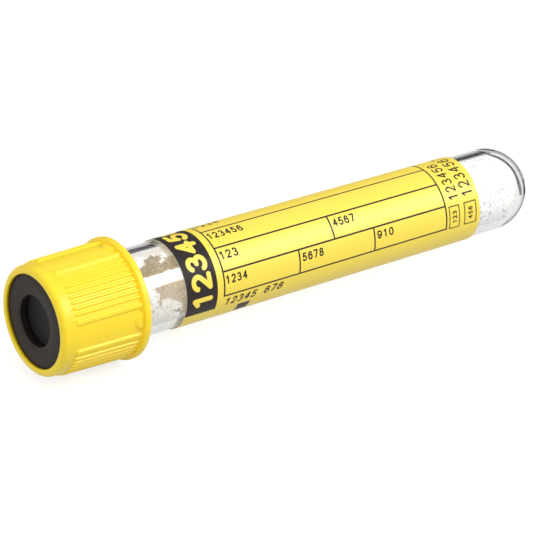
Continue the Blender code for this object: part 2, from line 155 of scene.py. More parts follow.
def finish_piece(name, points, faces, materials, sharp=32.0, thin_powder_and_shade=None):
    """Object on the tube's axis from points and faces, merged at its poles and shaded smooth."""
    mesh = bpy.data.meshes.new(name)
    mesh.from_pydata(points.reshape(-1, 3).tolist(), [], faces)
    if thin_powder_and_shade is not None:
        mesh.attributes.new("thin_powder_and_shade", "FLOAT", "POINT").data.foreach_set("value", thin_powder_and_shade)
    shape = bmesh.new()
    shape.from_mesh(mesh)
    bmesh.ops.remove_doubles(shape, verts=shape.verts, dist=MERGE_DISTANCE * MM)
    empty = [face for face in shape.faces if face.calc_area() < SMALLEST_FACE]
    bmesh.ops.delete(shape, geom=empty, context="FACES_ONLY")
    shape.to_mesh(mesh)
    shape.free()
    mesh.shade_smooth()
    mesh.set_sharp_from_angle(angle=math.radians(sharp))
    for material in materials:
        mesh.materials.append(material)
    piece = scene_object(name, mesh)
    piece.matrix_world = TUBE_AXIS
    return piece


def turned_piece(name, section, steps, materials, swell=None, closed=False, sharp=32.0):
    """Piece turned from a section that runs down its outer side, swollen where a function says."""
    rings = np.array(section)
    angle = np.linspace(0, 2 * math.pi, steps, endpoint=False)[None, :]
    radius = rings[:, :1] + np.zeros_like(angle)
    height = rings[:, 1:] + np.zeros_like(angle)
    if swell:
        radius = swell(radius, height, angle)
    faces = grid_faces(len(rings), steps, round_rows=closed)
    return finish_piece(name, wall_points(radius, height, angle), faces, materials, sharp)


def tube_radius(height):
    """Outer radius of the tube's straight part."""
    rise = (height - SHOULDER_RADIUS) / (TUBE_LENGTH - SHOULDER_RADIUS)
    return SHOULDER_RADIUS + rise * (MOUTH_RADIUS - SHOULDER_RADIUS)


# The thread has two ridges of about half a turn each, with tapered flanks.
HALF_FACET = math.pi / 64
THREAD_LEAD = 7.5
THREAD_HEIGHT = 0.5
THREAD_FOOT = 1.0
THREAD_CREST = 0.5
THREAD_SPAN = math.radians(178)
THREAD_RUN_OUT = math.radians(22)
THREAD_RISE = THREAD_LEAD * THREAD_SPAN / (2 * math.pi)
THREAD_BELOW_MOUTH = 1.1
THREAD_START = TUBE_LENGTH - THREAD_BELOW_MOUTH - THREAD_FOOT / 2 - THREAD_RISE
THREAD_ROW = 0.13


def thread_height(height, angle, first_height, first_angle):
    """How far the thread's ridges stand proud at each point of a wall."""
    proud = np.zeros(np.broadcast(height, angle).shape)
    for start in (0, math.pi):
        swept = (angle - first_angle - start) % (2 * math.pi)
        ends = np.clip(np.minimum(swept, THREAD_SPAN - swept) / THREAD_RUN_OUT, 0, 1)
        middle = first_height + THREAD_LEAD * swept / (2 * math.pi)
        flank = (THREAD_FOOT / 2 - np.abs(height - middle)) / ((THREAD_FOOT - THREAD_CREST) / 2)
        proud = np.maximum(proud, THREAD_HEIGHT * ends * np.clip(flank, 0, 1))
    return proud


def thread_on_tube(radius, height, angle):
    """Radii of the tube's wall with the thread on the outside of its neck."""
    outside = radius > tube_radius(height) - WALL / 2
    ridge = thread_height(height, angle, THREAD_START, HALF_FACET)
    return np.where(outside & (height > THREAD_START - THREAD_FOOT), radius + ridge, radius)


# Rows close to the ends of each long wall keep its shading true to the cylinder.
ROW_SPACING = 6.0
END_ROW = 0.12


def held_rows(first, last):
    """Heights of rows between two ends of a wall, with one close to each end."""
    toward = math.copysign(END_ROW, last - first)
    rows = max(3, round(abs(last - first) / ROW_SPACING))
    return np.linspace(first + toward, last - toward, rows).tolist()


inner_dome_radius = SHOULDER_RADIUS - WALL
inner_dome_z = BOTTOM_THICKNESS + inner_dome_radius
inner_mouth_radius = MOUTH_RADIUS - WALL
rim_z = TUBE_LENGTH - RIM_ROUNDING
thread_rows = np.arange(rim_z - 0.1, THREAD_START - THREAD_FOOT, -THREAD_ROW)
tube_section = arc(0, inner_dome_z, inner_dome_radius, -90, 0, 40)
for z in held_rows(inner_dome_z, rim_z):
    rise = (z - inner_dome_z) / (rim_z - inner_dome_z)
    tube_section.append((inner_dome_radius + rise * (inner_mouth_radius - inner_dome_radius), z))
tube_section += arc(inner_mouth_radius + RIM_ROUNDING, rim_z, RIM_ROUNDING, 180, 90, 5)
tube_section += arc(MOUTH_RADIUS - RIM_ROUNDING, rim_z, RIM_ROUNDING, 90, 0, 5)
tube_section += [(tube_radius(z), z) for z in thread_rows]
tube_section += [(tube_radius(z), z) for z in held_rows(thread_rows[-1], SHOULDER_RADIUS)]
tube_section += arc(0, SHOULDER_RADIUS, SHOULDER_RADIUS, 0, -90, 48)

# Clear PET, moulded against polished steel: it bends light strongly and mirrors the studio. Faint
# flow lines along the wall, about 2.5 mm apart, keep its highlights from being perfectly straight.
clear_pet, tree, shader = new_material("clear_moulded_pet")
place = add_node(tree, "ShaderNodeTexCoord").outputs["Object"]
stretched = add_node(tree, "ShaderNodeMapping", {"Vector": place, "Scale": (1.0, 1.0, 0.12)})
flow = add_node(
    tree, "ShaderNodeTexNoise",
    {"Vector": stretched.outputs["Vector"], "Scale": per_mm(2.5), "Detail": 2.0, "Roughness": 0.5},
)
waviness = add_node(
    tree, "ShaderNodeBump",
    {"Height": flow.outputs["Fac"], "Strength": 0.12, "Distance": 0.05 * MM},
)
set_inputs(shader, {
    "Base Color": linear("FAFCFC"), "Normal": waviness.outputs["Normal"],
    "Transmission Weight": 1.0, "Roughness": 0.0, "IOR": 1.57,
})

tube = turned_piece("clear_tube", tube_section, TUBE_STEPS, [clear_pet], swell=thread_on_tube)
# Lamps reach the powder through the clear wall, so the wall itself throws no shadow.
tube.visible_shadow = False
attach(tube, "tube_body")
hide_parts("tube")


# The stabiliser: dry white powder, a loose bed along the low side of the tube. Handling has thrown
# some of it against the wall, where a thin crust clings at both ends of the label.
POWDER_END = 65.0
POWDER_TOP_AT_NECK = -2.2
POWDER_TOP_AT_BOTTOM = 0.6
POWDER_WAVE = 0.28
POWDER_WAVE_LENGTH = 9.0
POWDER_WAVE_SKEW = 0.6
WALL_GAP = 0.012
NOISE_REACH = 1.6


def bore_radius(height):
    """Radius of the bore, with the inside of the round bottom."""
    rise = (height - inner_dome_z) / (TUBE_LENGTH - inner_dome_z)
    straight = inner_dome_radius + rise * (inner_mouth_radius - inner_dome_radius)
    below = np.clip(inner_dome_z - height, 0, inner_dome_radius)
    return np.where(height > inner_dome_z, straight, np.sqrt(inner_dome_radius ** 2 - below ** 2))


def grain_noise(points, size, seed, height=1.0):
    """Smooth noise at points in mm: lumps of a size in mm, that rise and fall by a height."""
    shift = Vector((seed * 17.3, seed * 5.1, seed * 9.7))
    flat = points.reshape(-1, 3)
    values = [noise.noise(Vector(p) / size + shift) for p in flat.tolist()]
    return np.array(values).reshape(points.shape[:-1]) * NOISE_REACH * height


# Dry granules: white and matt. Lumps of 3 mm differ between white and cream, and each grain of
# 0.25 mm catches the light on its own. Its colour darkens towards its edges: painted shade between
# the grains.
powder, tree, shader = new_material("dry_white_granules")
place = add_node(tree, "ShaderNodeTexCoord").outputs["Object"]
lumps = add_node(
    tree, "ShaderNodeTexNoise",
    {"Vector": place, "Scale": per_mm(3.0), "Detail": 3.0, "Roughness": 0.6},
)
lump_tone = add_node(
    tree, "ShaderNodeMapRange", {"Value": lumps.outputs["Fac"], "From Min": 0.45, "From Max": 0.7},
)
tone = add_node(
    tree, "ShaderNodeMix",
    {0: lump_tone.outputs["Result"], 6: linear("EFEEED"), 7: linear("E8E2D9")},
    data_type="RGBA",
)
# This attribute is 0 on whole white powder. Below 0 it is a grey speck at the bottom: painted
# shade of a small void between grains. Above 0 it is thin powder at the neck, going from pinkish
# to drab beige where the wall is almost bare; the beige is painted shade, the tube's shaded inside
# seen through the thin powder.
thin_powder_and_shade = add_node(tree, "ShaderNodeAttribute", attribute_name="thin_powder_and_shade")
for colour, operation, factor in (
    ("84827E", "MULTIPLY", -1.0),
    ("DFCBB3", "MULTIPLY", 1.6),
    ("8F7C57", "POWER", 1.5),
):
    share = add_node(
        tree, "ShaderNodeMath", {0: thin_powder_and_shade.outputs["Fac"], 1: factor},
        operation=operation, use_clamp=True,
    )
    tone = add_node(
        tree, "ShaderNodeMix",
        {0: share.outputs[0], 6: tone.outputs[2], 7: linear(colour)},
        data_type="RGBA",
    )
grains = add_node(
    tree, "ShaderNodeTexVoronoi", {"Vector": place, "Scale": per_mm(0.25), "Randomness": 1.0},
)
# Painted shade between the grains: the colour darkens towards the edge of each grain.
grain_shade = add_node(
    tree, "ShaderNodeMapRange",
    {"Value": grains.outputs["Distance"], "From Min": 0.2, "From Max": 0.8, "To Min": 1.0,
     "To Max": 0.88},
)
grain_tone = add_node(
    tree, "ShaderNodeMix",
    {0: 1.0, 6: tone.outputs[2], 7: grain_shade.outputs["Result"]},
    data_type="RGBA", blend_type="MULTIPLY",
)
grain_bump = add_node(
    tree, "ShaderNodeBump",
    {"Height": grains.outputs["Distance"], "Strength": 0.4, "Distance": 0.06 * MM},
    invert=True,
)
set_inputs(shader, {
    "Base Color": grain_tone.outputs[2], "Normal": grain_bump.outputs["Normal"],
    "Roughness": 0.85, "Specular IOR Level": 0.3,
})


def bed_top(height, sideways):
    """Height of the bed's surface over the tube's axis, measured upward."""
    share = np.clip(height / POWDER_END, 0, 1)
    phase = 2 * math.pi * height / POWDER_WAVE_LENGTH
    wave = POWDER_WAVE * np.sin(phase) * np.cos(sideways / MOUTH_RADIUS + POWDER_WAVE_SKEW * phase)
    return POWDER_TOP_AT_BOTTOM + share * (POWDER_TOP_AT_NECK - POWDER_TOP_AT_BOTTOM) + wave


# The bed lies just under the crust, in rows along the tube. Each of its two sets of lumps has a
# size in mm, a seed and a height in mm.
BED_UNDER_CRUST = 0.12
BED_FIRST_ROW = 0.5
BED_ROW = 0.4
BED_REACH = 0.985
BED_FILL = 0.92
BED_LUMPS = ((0.9, 1, 0.12), (0.45, 2, 0.08))
POWDER_SHARP = 80.0


def powder_bed():
    """Bed of powder: one ring of points for each place along the tube, flat on top, round below."""
    dome = inner_dome_radius * BED_REACH * np.cos(np.linspace(0, math.pi / 2, 12))
    straight = np.arange(inner_dome_z + BED_FIRST_ROW, POWDER_END, BED_ROW)
    rings = []
    for height in np.concatenate((inner_dome_z - dome, straight, [POWDER_END])):
        radius = float(bore_radius(height)) - WALL_GAP - BED_UNDER_CRUST
        level = float(np.clip(bed_top(height, 0.0), -BED_FILL * radius, BED_FILL * radius))
        half = math.acos(level / radius)
        low = np.linspace(half, 2 * math.pi - half, 40)
        side = np.linspace(-1, 1, 26)[1:-1] * radius * math.sin(half)
        top = bed_top(height, side) + level - bed_top(height, 0.0)
        bottom_ring = np.stack((radius * np.cos(low), radius * np.sin(low)), axis=-1)
        top_ring = np.stack((top, side), axis=-1)
        ring = np.concatenate((bottom_ring, top_ring))
        rings.append(np.concatenate((ring, np.full((len(ring), 1), height)), axis=-1))
    rings = np.array(rings)
    rough = sum(grain_noise(rings, size, seed, rise) for size, seed, rise in BED_LUMPS)
    middle = np.array((-inner_dome_radius / 2, 0, 0))
    inward = middle - rings * np.array((1, 1, 0))
    inward /= np.linalg.norm(inward, axis=-1, keepdims=True)
    rings = rings + inward * (np.abs(rough) + rough * 0.4)[..., None]
    count = rings.shape[1]
    faces = grid_faces(len(rings), count)
    faces.append(list(range(count)))
    faces.append(list(range(len(rings) * count - 1, (len(rings) - 1) * count - 1, -1)))
    return finish_piece("powder_bed", rings * MM, faces, [powder], POWDER_SHARP)


# The crust's wall side is rough by one grain, and its inner side lies deeper by its thickness.
CRUST_GRAIN = 0.32
CRUST_ROUGHNESS = 0.03
CRUST_BACK = 0.09
CRUST_THINNEST = 0.02
CRUST_POLE = 0.001


def wall_crust(name, heights, columns, cover):
    """Thin crust on the bore: a shell whose thickness and tint come from a function."""
    angle = np.linspace(0, 2 * math.pi, columns, endpoint=False)[None, :]
    height = np.array(heights)[:, None]
    radius = bore_radius(height) - WALL_GAP
    radius, height, angle = (np.array(a) for a in np.broadcast_arrays(radius, height, angle))
    outer = np.stack((radius * np.cos(angle), radius * np.sin(angle), height), axis=-1)
    thick, thin_powder_and_shade = cover(outer)
    solid = thick > 0
    rough = 0.5 + 0.5 * grain_noise(outer, CRUST_GRAIN, 5)
    outer_r = radius - CRUST_ROUGHNESS * np.clip(rough, 0, 1)
    inner_r = outer_r - np.maximum(thick, CRUST_THINNEST) - CRUST_BACK
    down = np.clip(inner_dome_z - height, 0, inner_dome_radius) / inner_dome_radius
    inner_h = height + down * (outer_r - inner_r)
    inner_r = np.maximum(outer_r - (outer_r - inner_r) * np.sqrt(1 - down ** 2), CRUST_POLE)
    points = np.concatenate((
        wall_points(outer_r, height, angle), wall_points(inner_r, inner_h, angle),
    )).reshape(-1, 3)
    rows = len(heights)
    here = np.arange(rows * columns).reshape(rows, columns)
    right = np.roll(here, -1, axis=1)
    kept = solid & np.roll(solid, -1, axis=1)
    kept = kept[:-1] & kept[1:]
    quads = np.stack((here[:-1], here[1:], right[1:], right[:-1]), axis=-1)[kept]
    depth = rows * columns
    faces = quads.tolist() + (quads[:, ::-1] + depth).tolist()
    edges = dict.fromkeys(
        edge for quad in quads.tolist() for edge in zip(quad, quad[1:] + quad[:1])
    )
    faces += [(b, a, a + depth, b + depth) for a, b in edges if (b, a) not in edges]
    used = np.zeros(len(points), bool)
    for face in faces:
        used[list(face)] = True
    order = np.cumsum(used) - 1
    faces = [[int(order[i]) for i in face] for face in faces]
    tint = np.tile(thin_powder_and_shade.reshape(-1), 2)[used]
    return finish_piece(name, points[used], faces, [powder], POWDER_SHARP, tint)


def depth_inside(places, outline):
    """How deep places lie inside an outline on the wall, in mm, and below zero outside it."""
    corners = np.array([(up, math.radians(front) * inner_mouth_radius) for up, front in outline])
    height, sideways = places[..., 0], places[..., 1]
    nearest = np.full(height.shape, np.inf)
    inside = np.zeros(height.shape, bool)
    for start, end in zip(corners, np.roll(corners, -1, axis=0)):
        step = end - start
        share = np.clip((places - start) @ step / (step @ step), 0, 1)
        away = np.linalg.norm(places - start - share[..., None] * step, axis=-1)
        nearest = np.minimum(nearest, away)
        if step[1]:
            crossing = start[0] + (sideways - start[1]) * step[0] / step[1]
            inside ^= ((start[1] > sideways) != (end[1] > sideways)) & (height < crossing)
    return np.where(inside, nearest, -nearest)


# Thin patches of the neck's crust, tinted beige as painted shade of the tube's inside seen through
# them: how much of the white each has lost, and its outline as heights in mm and angles from the
# top towards the front.
NECK_PATCHES = [
    (1.0, [
        (68.7, 43), (68.5, 31), (67.3, 24), (66.6, 17), (66.1, 13), (65.2, 12), (64.6, 13),
        (64.0, 15), (64.0, 20), (64.5, 23), (64.8, 27), (64.3, 29), (63.8, 24.5), (63.3, 22),
        (62.0, 21), (62.0, 43),
    ]),
    (0.74, [
        (62.0, 58), (64.0, 57), (65.0, 56.5), (65.8, 58), (66.0, 62), (66.9, 60), (67.0, 67),
        (66.5, 69), (66.9, 88), (66.4, 87), (66.1, 80), (65.4, 78), (64.8, 82), (64.3, 86),
        (63.4, 89), (63.0, 93), (62.9, 103), (63.1, 112), (62.0, 112),
    ]),
    (1.0, [(64.7, 100.5), (63.9, 101), (63.2, 102.5), (63.1, 106), (64.0, 105)]),
    (0.3, [(67.8, 0), (67.6, 4), (66.2, 11), (64.0, 13), (62.8, 12), (62.8, 0)]),
    (0.6, [(62.0, -2), (62.9, -2), (63.1, 12), (62.9, 22), (62.0, 22)]),
]
PATCH_EDGE = 0.14
PATCH_RAGGEDNESS = 0.26
CRUST_THICKNESS = 0.24
CRUST_SWELL = 0.07
FINE_LUMP = 0.42
NECK_LUMP = 2.2
NECK_SPECK = 0.3
NECK_LOSS = 0.12
BOTTOM_LUMP = 2.6
BOTTOM_SPECK = 0.34
DARKEST_SPECK = 0.5


def neck_cover(points):
    """Thickness and tint at the neck: lumpy and white, with pinkish specks and thin patches."""
    lumps = grain_noise(points, NECK_LUMP, 3)
    fine = grain_noise(points, FINE_LUMP, 4)
    specks = grain_noise(points, NECK_SPECK, 9)
    front = -np.arctan2(points[..., 1], points[..., 0])
    height = points[..., 2] + PATCH_RAGGEDNESS * specks
    sideways = front * inner_mouth_radius + PATCH_RAGGEDNESS * fine
    tint = 0.03 + 0.03 * lumps + 0.6 * np.clip(specks - 0.3, 0, 1)
    tint += 0.25 * np.clip(fine - 0.35, 0, 1)
    for dimming, outline in NECK_PATCHES:
        depth = depth_inside(np.stack((height, sideways), axis=-1), outline)
        inside = np.clip(depth / PATCH_EDGE + 0.5, 0, 1)
        # Inside a patch the crust turns beige: painted shade of the tube's inside seen through it.
        tint = np.maximum(tint, dimming * inside * (0.95 + 0.2 * specks + 0.08 * lumps))
    thick = CRUST_THICKNESS + CRUST_SWELL * lumps + 0.05 * fine - NECK_LOSS * np.clip(tint, 0, 1)
    return thick, np.clip(tint, 0, 1.2)


def bottom_cover(points):
    """Thickness and tint at the round bottom: whole and white, with faint grey specks."""
    lumps = grain_noise(points, BOTTOM_LUMP, 6)
    fine = grain_noise(points, FINE_LUMP, 7)
    # The grey specks are painted shade of small voids between the grains.
    specks = np.clip(-0.36 - grain_noise(points, BOTTOM_SPECK, 8) - 0.2 * lumps, 0, 1) * 1.6
    tint = np.clip(0.01 + 0.02 * lumps + specks, 0, DARKEST_SPECK)
    return CRUST_THICKNESS + CRUST_SWELL * lumps + 0.06 * fine, -tint


BOTTOM_CRUST_END = 13.6
BOTTOM_CRUST_ROW = 0.13
BOTTOM_CRUST_COLUMNS = 250
NECK_CRUST_FROM = 60.6
NECK_CRUST_END = 69.3
NECK_CRUST_ROW = 0.12
NECK_CRUST_COLUMNS = 270

dome_turn = np.linspace(0.03, math.pi / 2, 62)
bottom_rows = (inner_dome_z - inner_dome_radius * np.cos(dome_turn)).tolist()
bottom_rows += np.arange(
    inner_dome_z + BOTTOM_CRUST_ROW, BOTTOM_CRUST_END, BOTTOM_CRUST_ROW,
).tolist()
neck_rows = np.arange(NECK_CRUST_FROM, NECK_CRUST_END, NECK_CRUST_ROW)
bed = powder_bed()
bottom_crust = wall_crust("powder_crust_bottom", bottom_rows, BOTTOM_CRUST_COLUMNS, bottom_cover)
neck_crust = wall_crust("powder_crust_neck", neck_rows, NECK_CRUST_COLUMNS, neck_cover)
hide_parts("stabiliser_powder")
for piece in (bed, bottom_crust, neck_crust):
    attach(piece, "tube_body")


# The label: yellow coated film, wrapped round the tube and glued, with a strip left open at the
# back. Its print is black, with a band of large numerals and a ruled form.
LABEL_THICKNESS = 0.1
LABEL_GAP = 0.05
LABEL_FROM_BOTTOM = 11.65
LABEL_LENGTH = 51.0
LABEL_TOP = LABEL_FROM_BOTTOM + LABEL_LENGTH
LABEL_FIRST = -194.06
LABEL_LAST = 120.94
LABEL_RADIUS = 6.235
STRIP_ANGLE = 2.5
NUMERAL_GAP = 0.2
SMOOTH_JOINT = 0.8


def round_mm(front):
    """Place round the label's plan, in mm, of an angle in degrees from the top to the front."""
    return -math.radians(front) * LABEL_RADIUS


def bar(left, right, low, high):
    """Rectangle on the plan, counter-clockwise."""
    return [[(left, low), (right, low), (right, high), (left, high)]]


def ruled(left, right, front):
    """Line along the tube, at an angle from the top towards the front."""
    middle = round_mm(front)
    return bar(left, right, middle - LINE_WIDTH / 2, middle + LINE_WIDTH / 2)


def crossed(place, upper, lower):
    """Line round the tube, between two angles."""
    half = LINE_WIDTH / 2
    return bar(place - half, place + half, round_mm(lower) - half, round_mm(upper) + half)


def curve(centre_x, centre_y, half_width, half_height, start, end, steps=10):
    """Points of an upright oval in a numeral's box of size 1, between two angles in degrees."""
    turn = np.radians(np.linspace(start, end, steps + 1))
    return [
        (centre_x + half_width * math.cos(a), centre_y + half_height * math.sin(a)) for a in turn
    ]


# Centre lines of the numerals, in a box of width 1 and height 1.
FIGURES = {
    "0": [curve(0.5, 0.5, 0.5, 0.5, 90, 450, 16)],
    "1": [[(0.18, 0.78), (0.6, 1.0), (0.6, 0.0)]],
    "2": [curve(0.5, 0.71, 0.47, 0.29, 165, -38) + [(0.03, 0.0), (1.0, 0.0)]],
    "3": [curve(0.47, 0.75, 0.41, 0.25, 155, -90) + curve(0.47, 0.26, 0.5, 0.26, 78, -155)],
    "4": [[(0.74, 0.0), (0.74, 1.0), (0.0, 0.31), (1.0, 0.31)]],
    "5": [[(0.93, 1.0), (0.2, 1.0)] + curve(0.46, 0.32, 0.5, 0.32, 140, -155)],
    "6": [curve(0.5, 0.31, 0.5, 0.31, 90, 450, 14), curve(0.5, 0.5, 0.5, 0.5, 35, 195)],
    "7": [[(0.0, 1.0), (1.0, 1.0), (0.36, 0.0)]],
    "8": [curve(0.5, 0.765, 0.4, 0.235, -90, 270, 12), curve(0.5, 0.265, 0.5, 0.265, 90, 450, 14)],
    "9": [curve(0.5, 0.69, 0.5, 0.31, 90, 450, 14), curve(0.5, 0.5, 0.5, 0.5, 215, 375)],
}


def drawn_line(path, width, dot_sides):
    """Convex pieces of a line of even width along a path, with round ends and corners."""
    points = np.array(path)
    steps = np.diff(points, axis=0)
    steps /= np.linalg.norm(steps, axis=1, keepdims=True)
    normals = np.stack((-steps[:, 1], steps[:, 0]), axis=-1)
    dot = np.linspace(0, 2 * math.pi, dot_sides, endpoint=False)
    dot = np.stack((np.cos(dot), np.sin(dot)), axis=-1) * width / 2
    pieces = []
    for index, normal in enumerate(normals):
        sides = []
        for other, end in ((index - 1, index), (index + 1, index + 1)):
            side = normal
            if 0 <= other < len(normals) and normal @ normals[other] > SMOOTH_JOINT:
                middle = normal + normals[other]
                side = middle * 2 / (middle @ middle)
            else:
                pieces.append((points[end] + dot).tolist())
            sides.append(side * width / 2)
        first, last = points[index], points[index + 1]
        pieces.append([
            (first - sides[0]).tolist(), (last - sides[1]).tolist(),
            (last + sides[1]).tolist(), (first + sides[0]).tolist(),
        ])
    return pieces


def numerals(body, height, length, width, lean=0.0, dot_sides=6):
    """Plain counting numbers as convex pieces, of a height, a length and a line width in mm."""
    pitch = length / (len(body) - NUMERAL_GAP)
    box = pitch * (1 - NUMERAL_GAP) - width
    pieces = []
    for index, figure in enumerate(body):
        for path in FIGURES.get(figure, []):
            placed = []
            for x, y in path:
                rise = y * (height - width)
                placed.append((index * pitch + width / 2 + x * box + lean * rise, width / 2 + rise))
            pieces += drawn_line(placed, width, dot_sides)
    return pieces


def along(pieces, left, front):
    """Numerals that read along the tube, with their upper edge at an angle."""
    top = round_mm(front)
    rise = max(point[1] for piece in pieces for point in piece)
    return [[(left + x, top - rise + y) for x, y in piece] for piece in pieces]


def around(pieces, base, front):
    """Numerals that read up round the tube, with their feet towards the tube's bottom."""
    start = round_mm(front)
    return [[(base - y, start + x) for x, y in piece] for piece in pieces]


def outline(left, right, upper, lower, width):
    """Frame of four bars."""
    low, high = round_mm(lower), round_mm(upper)
    sides = bar(left, right, low, low + width) + bar(left, right, high - width, high)
    return sides + bar(left, left + width, low, high) + bar(right - width, right, low, high)


# Places on the label run from its edge at the cap towards the tube's bottom, in mm.
LINE_WIDTH = 0.25
BAND_LEFT = 0.0
BAND_RIGHT = 5.12
BAND_LOWER = 114.5
BAND_UPPER = -104.0
BAND_NUMERAL_TOP = 0.95
BAND_NUMERAL = 3.36
BAND_PITCH = 24.7
BAND_FIRST = 106.3
BAND_LINE = 0.72
BAND_NUMERAL_WIDTH = 2.5
FORM_LEFT = 6.27
FORM_RIGHT = 44.95
FORM_RULES = (-29.0, 2.3, 33.5, 65.0, 97.0)
WORD_LEFT = 6.52
WORD_HEIGHT = 1.24
WORD_LINE = 0.23
WORD_DROP = 5.4
CODE_LEFT = 45.45
LOT_LEFT = 48.17
BOX_UPPER = 66.9
BOX_LOWER = 98.8
BOX_LINE = 0.17

band = bar(BAND_LEFT, BAND_RIGHT, round_mm(BAND_LOWER), round_mm(BAND_UPPER))
band_numerals = []
for index, figure in enumerate("12345678"):
    shape = numerals(figure, BAND_NUMERAL, BAND_NUMERAL_WIDTH, BAND_LINE, dot_sides=16)
    base = BAND_NUMERAL_TOP + BAND_NUMERAL
    band_numerals += around(shape, base, BAND_FIRST - BAND_PITCH * index)

ink = []
for front in FORM_RULES:
    ink += ruled(FORM_LEFT, FORM_RIGHT, front)
for place_mm in (FORM_LEFT, FORM_RIGHT):
    ink += crossed(place_mm, FORM_RULES[0], FORM_RULES[-1])
for place_mm, row in ((25.4, 2), (19.1, 3), (32.15, 3)):
    ink += crossed(place_mm, FORM_RULES[row], FORM_RULES[row + 1])
for body, row, left, length in (
    ("1234", 0, WORD_LEFT, 4.2),
    ("123456", 1, WORD_LEFT, 5.86),
    ("123", 2, WORD_LEFT, 3.1),
    ("4567", 2, 25.9, 3.74),
    ("1234", 3, WORD_LEFT, 3.65),
    ("5678", 3, 19.57, 3.65),
    ("910", 3, 32.6, 2.9),
):
    word = numerals(body, WORD_HEIGHT, length, WORD_LINE)
    ink += along(word, left, FORM_RULES[row] + WORD_DROP)
ink += along(numerals("12345 678", 1.3, 9.9, 0.24, lean=0.3), 6.4, 101.5)
ink += bar(9.2, 11.3, round_mm(137.0), round_mm(119.6))
for left, length in ((CODE_LEFT, 1.9), (LOT_LEFT, 2.2)):
    ink += outline(left, left + length, BOX_UPPER, BOX_LOWER, BOX_LINE)
for body, height, length, width, base, front in (
    ("123", 0.8, 1.9, BOX_LINE, CODE_LEFT + 1.38, 91.5),
    ("456", 0.8, 1.9, BOX_LINE, LOT_LEFT + 1.5, 91.5),
    ("123456", 1.73, 7.1, 0.24, CODE_LEFT + 2.15, 60.5),
    ("12345678", 1.9, 10.6, 0.25, LOT_LEFT + 2.0, 60.5),
):
    ink += around(numerals(body, height, length, width), base, front)


def covered(points, shapes):
    """Which points of the plan lie inside one of the convex, counter-clockwise shapes."""
    inside_any = np.zeros(len(points), bool)
    for shape in shapes:
        inside = np.ones(len(points), bool)
        for (ax, ay), (bx, by) in zip(shape, shape[1:] + shape[:1]):
            inside &= (bx - ax) * (points[:, 1] - ay) - (by - ay) * (points[:, 0] - ax) > 0
        inside_any |= inside
    return inside_any


CUT_TOLERANCE = 0.0005


def printed_sheet():
    """Label with its print as faces of their own, cut along every outline and bent on the tube."""
    strips = []
    edges = np.arange(LABEL_FIRST, LABEL_LAST + STRIP_ANGLE / 2, STRIP_ANGLE)
    edges = np.radians(edges) * LABEL_RADIUS
    for low, high in zip(edges, edges[1:]):
        strips += bar(0, LABEL_LENGTH, low, high)
    plan, cuts = [], []
    for shape in strips + band + ink + band_numerals:
        first = len(plan)
        plan += [Vector((float(x), float(y))) for x, y in shape]
        cuts += [(first + i, first + (i + 1) % len(shape)) for i in range(len(shape))]
    corners, _, triangles, *_ = delaunay_2d_cdt(plan, cuts, [], 0, CUT_TOLERANCE)
    flat = np.array([(corner.x, corner.y) for corner in corners])
    centres = flat[np.array([list(tri) for tri in triangles])].mean(axis=1)
    inked = (covered(centres, band) | covered(centres, ink)) & ~covered(centres, band_numerals)
    height = LABEL_TOP - flat[:, 0]
    angle = flat[:, 1] / LABEL_RADIUS
    inner = tube_radius(height) + LABEL_GAP
    face_points = wall_points(inner + LABEL_THICKNESS, height, angle)
    points = np.concatenate((face_points, wall_points(inner, height, angle)))
    count = len(corners)
    directed = {(a, b) for tri in triangles for a, b in zip(tri, list(tri[1:]) + [tri[0]])}
    rim = [(b, a, a + count, b + count) for a, b in directed if (b, a) not in directed]
    back = [[i + count for i in reversed(tri)] for tri in triangles]
    mesh = bpy.data.meshes.new("printed_label")
    mesh.from_pydata(points.tolist(), [], [list(tri) for tri in triangles] + back + sorted(rim))
    for material in (film, black_ink, film_back):
        mesh.materials.append(material)
    for polygon, dark in zip(mesh.polygons, inked.tolist()):
        polygon.material_index = int(dark)
    mesh.shade_smooth()
    outward_normals = np.stack((np.cos(angle), np.sin(angle), np.zeros(count)), axis=-1)
    normals = []
    for polygon in mesh.polygons:
        if polygon.index >= len(triangles):
            polygon.material_index = 2
        for corner in polygon.vertices:
            if polygon.index < len(triangles):
                normals.append(outward_normals[corner].tolist())
            elif polygon.index < 2 * len(triangles):
                normals.append((-outward_normals[corner - count]).tolist())
            else:
                normals.append(list(polygon.normal))
    mesh.normals_split_custom_set(normals)
    return mesh


def mottled_tone(tree, grain, detail, roughness, colours):
    """Noise with grains so many mm wide, and the colour that it mixes from two."""
    place = add_node(tree, "ShaderNodeTexCoord").outputs["Object"]
    patches = add_node(
        tree, "ShaderNodeTexNoise",
        {"Vector": place, "Scale": per_mm(grain), "Detail": detail, "Roughness": roughness},
    ).outputs["Fac"]
    first, second = colours
    tone = add_node(
        tree, "ShaderNodeMix", {0: patches, 6: linear(first), 7: linear(second)},
        data_type="RGBA",
    )
    return patches, tone.outputs[2]


# Polypropylene film with a satin coating: saturated yellow, with a broad soft highlight and a faint
# mottle of 0.35 mm in the coating.
film, tree, shader = new_material("satin_yellow_label_film")
mottle, film_tone = mottled_tone(tree, 0.35, 3.0, 0.6, ("F7DA3C", "FBE252"))
film_gloss = add_node(
    tree, "ShaderNodeMapRange",
    {"Value": mottle, "From Min": 0.3, "From Max": 0.7, "To Min": 0.42, "To Max": 0.5},
)
film_grain = add_node(
    tree, "ShaderNodeBump", {"Height": mottle, "Strength": 0.12, "Distance": 0.02 * MM},
)
set_inputs(shader, {
    "Base Color": film_tone, "Normal": film_grain.outputs["Normal"],
    "Roughness": film_gloss.outputs["Result"], "Specular IOR Level": 0.8,
})

